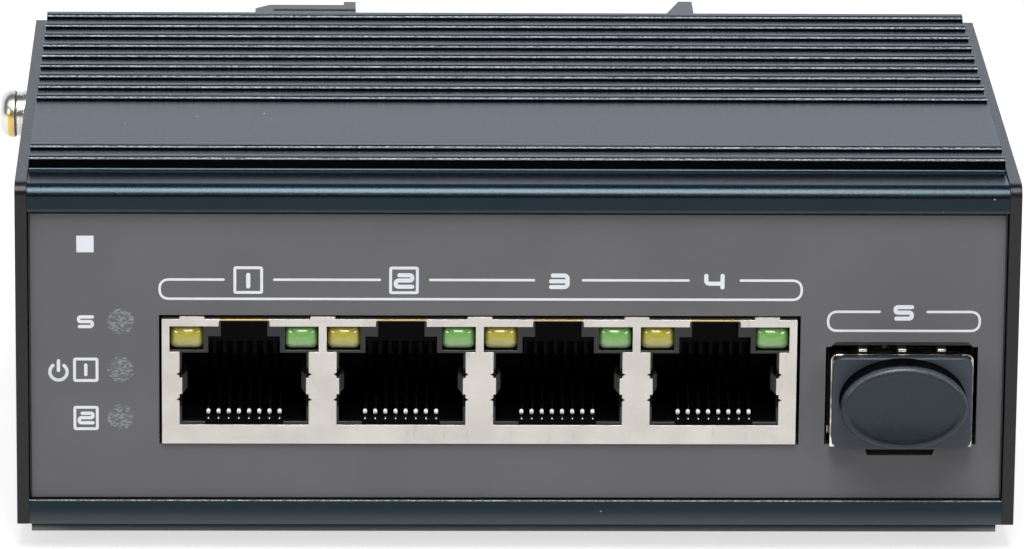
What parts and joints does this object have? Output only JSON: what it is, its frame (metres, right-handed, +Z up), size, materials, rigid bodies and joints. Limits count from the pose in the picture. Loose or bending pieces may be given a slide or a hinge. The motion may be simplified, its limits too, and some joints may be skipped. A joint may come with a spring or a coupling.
{
  "type": "power over ethernet switch",
  "caption": "Compact industrial network switch in a finned extruded case, with shielded copper ports, a plugged fibre slot, status lamps and a clip for a mounting rail.",
  "frame": {"origin": "on the surface that the case stands on, half way along the foot rib nearest its middle", "axes": "+X to the right end plate, +Y from the front panel to the rail clip, +Z up"},
  "size_m": [0.103, 0.0784, 0.0394],
  "materials": {
    "case_finish": "dark blue-black anodised, matt",
    "plate_paint": "black, fine texture",
    "panel_metal": "plain sheet",
    "overlay_film": "grey printed film",
    "plated_shield": "tin plated, satin",
    "port_moulding": "black moulded",
    "contact_plating": "gold plated",
    "lamp_yellow": "tinted diffused",
    "lamp_green": "tinted diffused",
    "lamp_clear": "frosted clear",
    "plated_cage": "nickel plated",
    "plug_rubber": "dark grey rubber",
    "clip_finish": "dark grey",
    "bright_steel": "nickel plated",
    "dark_screw": "black oxide",
    "board_laminate": "green solder mask",
    "chip_moulding": "black epoxy",
    "heat_filler": "soft gap filler",
    "can_sleeve": "sleeved can",
    "coil_ferrite": "ferrite"
  },
  "bodies": {
    "root": {"bulk_capacitors": "can_sleeve", "din_clip": "clip_finish", "din_clip_screws": "dark_screw", "front_overlay": "overlay_film", "front_panel": "panel_metal", "ground_lock_washer": "bright_steel", "ground_nut": "bright_steel", "ground_screw": "bright_steel", "ground_washer": "bright_steel", "heat_pad": "heat_filler", "housing": "case_finish", "jack_contacts_1": "contact_plating", "jack_contacts_2": "contact_plating", "jack_contacts_3": "contact_plating", "jack_contacts_4": "contact_plating", "jack_insert_1": "port_moulding", "jack_insert_2": "port_moulding", "jack_insert_3": "port_moulding", "jack_insert_4": "port_moulding", "jack_led_green_1": "lamp_green", "jack_led_green_2": "lamp_green", "jack_led_green_3": "lamp_green", "jack_led_green_4": "lamp_green", "jack_led_yellow_1": "lamp_yellow", "jack_led_yellow_2": "lamp_yellow", "jack_led_yellow_3": "lamp_yellow", "jack_led_yellow_4": "lamp_yellow", "jack_shield": "plated_shield", "lan_transformers": "chip_moulding", "left_end_plate": "plate_paint", "left_plate_screws": "dark_screw", "main_board": "board_laminate", "poe_controller": "chip_moulding", "power_header": "port_moulding", "power_header_pins": "contact_plating", "power_inductors": "coil_ferrite", "right_end_plate": "plate_paint", "right_plate_screws": "dark_screw", "sfp_cage": "plated_cage", "sfp_connector": "port_moulding", "sfp_dust_plug": "plug_rubber", "sfp_emi_collar": "plated_cage", "status_led_1": "lamp_clear", "status_led_2": "lamp_clear", "status_led_3": "lamp_clear", "status_led_holder": "port_moulding", "switch_chip": "chip_moulding"}
  },
  "joints": []
}
